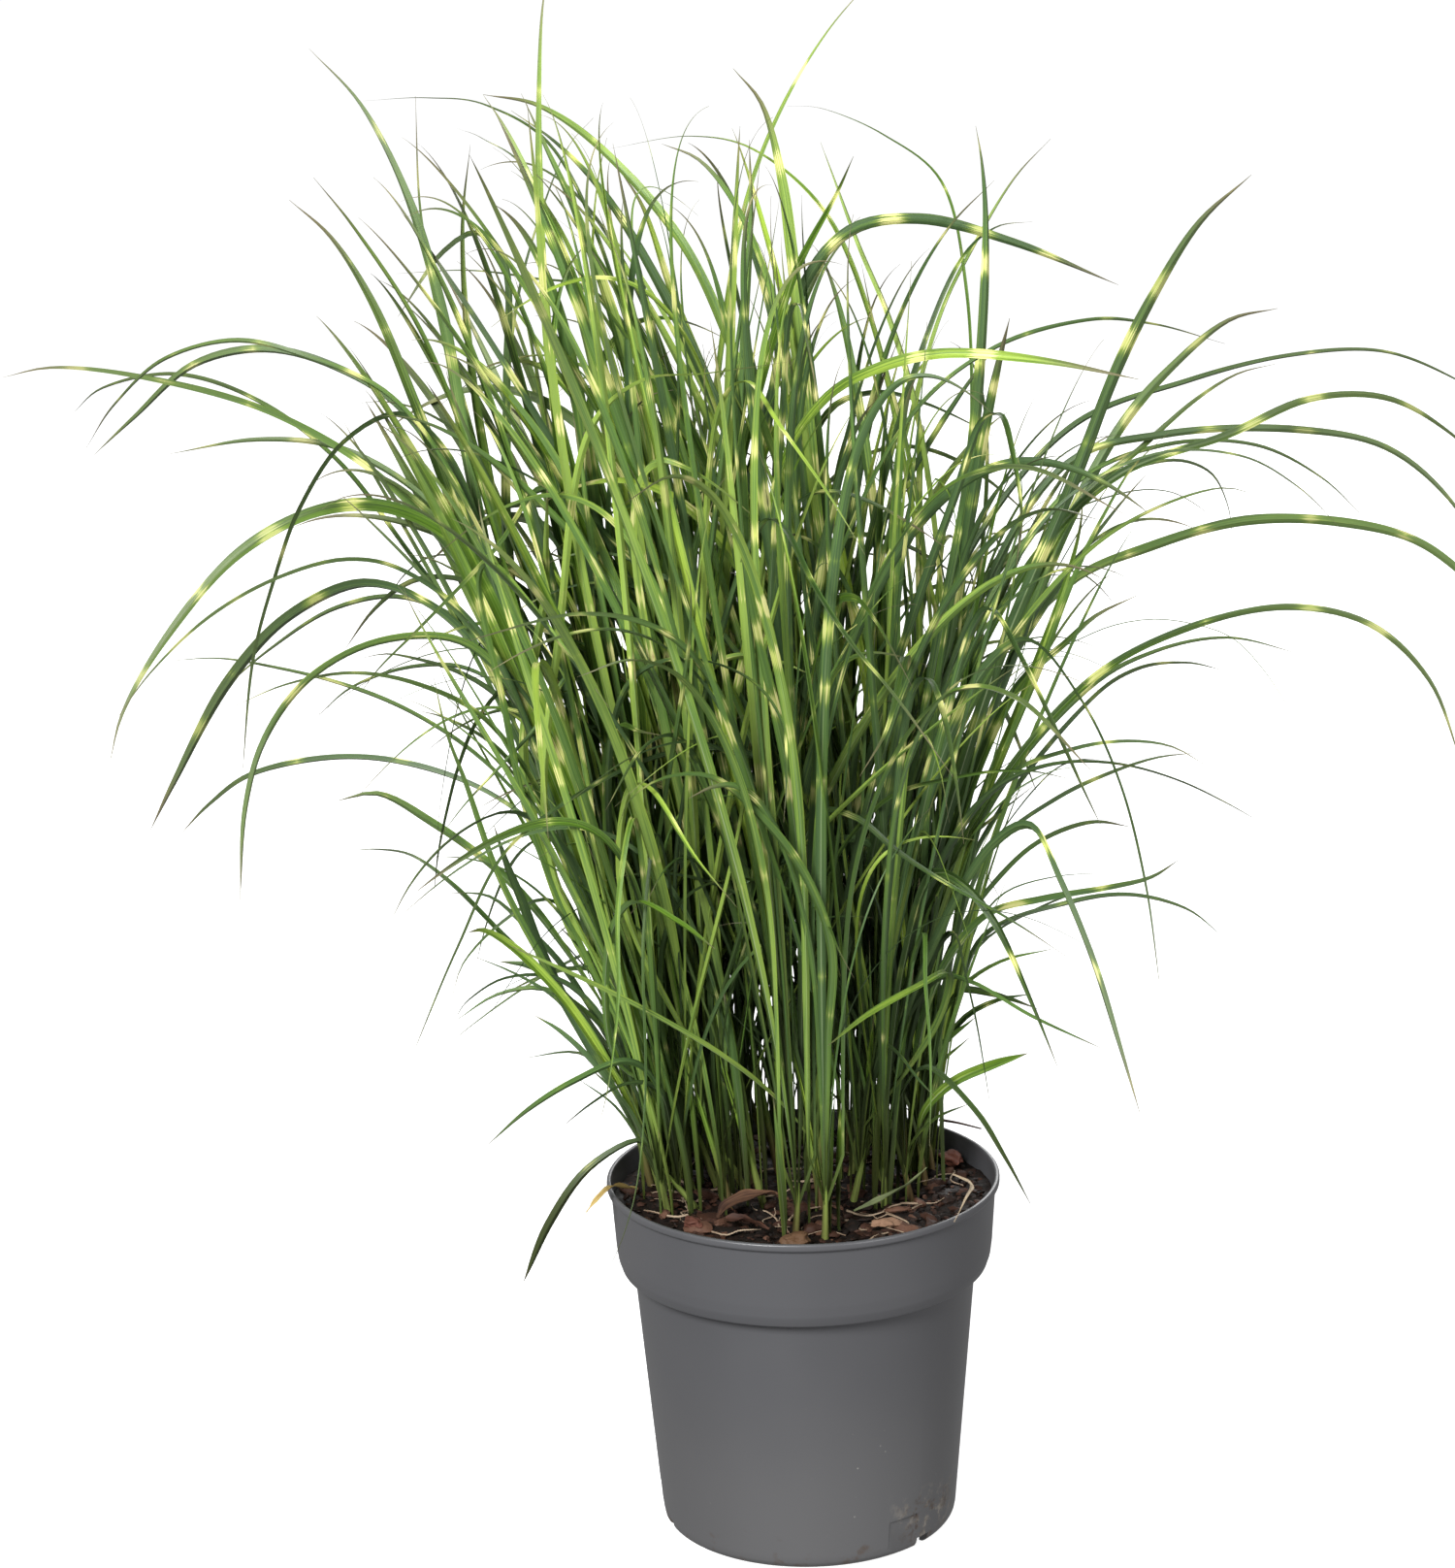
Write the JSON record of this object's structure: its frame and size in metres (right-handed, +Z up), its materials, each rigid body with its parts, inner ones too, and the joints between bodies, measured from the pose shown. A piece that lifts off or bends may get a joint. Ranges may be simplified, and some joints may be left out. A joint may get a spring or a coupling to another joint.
{
  "type": "potted zebra grass",
  "caption": "Clump of upright, arching zebra-banded miscanthus grass growing in a round tapered nursery pot with a deep collar rim.",
  "frame": {"origin": "middle of the pot's base, on the ground, under the pot's axis", "axes": "+Z up along the pot's axis; -Y towards the viewer of the picture, +X to that viewer's right"},
  "size_m": [0.903, 0.6121, 0.9069],
  "materials": {
    "pot": "satin",
    "potting_mix": "rough",
    "grass": "satin",
    "dry_leaf": "matte",
    "bark": "matte"
  },
  "bodies": {
    "root": {"pot": "pot", "potting_mix": "potting_mix", "tiller_01": "grass", "tiller_02": "grass", "tiller_03": "grass", "tiller_04": "grass", "tiller_05": "grass", "tiller_06": "grass", "tiller_07": "grass", "tiller_08": "grass", "tiller_09": "grass", "tiller_10": "grass", "tiller_11": "grass", "tiller_12": "grass", "tiller_13": "grass", "tiller_14": "grass", "tiller_15": "grass", "tiller_16": "grass", "tiller_17": "grass", "tiller_18": "grass", "tiller_19": "grass", "tiller_20": "grass", "tiller_21": "grass", "tiller_22": "grass", "tiller_23": "grass", "tiller_24": "grass", "tiller_25": "grass", "tiller_26": "grass", "tiller_27": "grass", "tiller_28": "grass", "tiller_29": "grass", "tiller_30": "grass", "tiller_31": "grass", "tiller_32": "grass", "tiller_33": "grass", "tiller_34": "grass", "tiller_35": "grass", "tiller_36": "grass", "tiller_37": "grass", "tiller_38": "grass", "tiller_39": "grass", "tiller_40": "grass", "tiller_41": "grass", "tiller_42": "grass", "tiller_43": "grass", "tiller_44": "grass", "dry_leaf_left": "dry_leaf", "dry_leaf_right": "dry_leaf", "dry_sheath_back": "dry_leaf", "dry_sheath_front": "dry_leaf", "dead_leaf_front": "dry_leaf", "bark_chip_front": "bark", "bark_chip_right": "bark", "bark_chip_left": "bark", "cut_stub": "bark", "twig": "bark"}
  },
  "joints": []
}
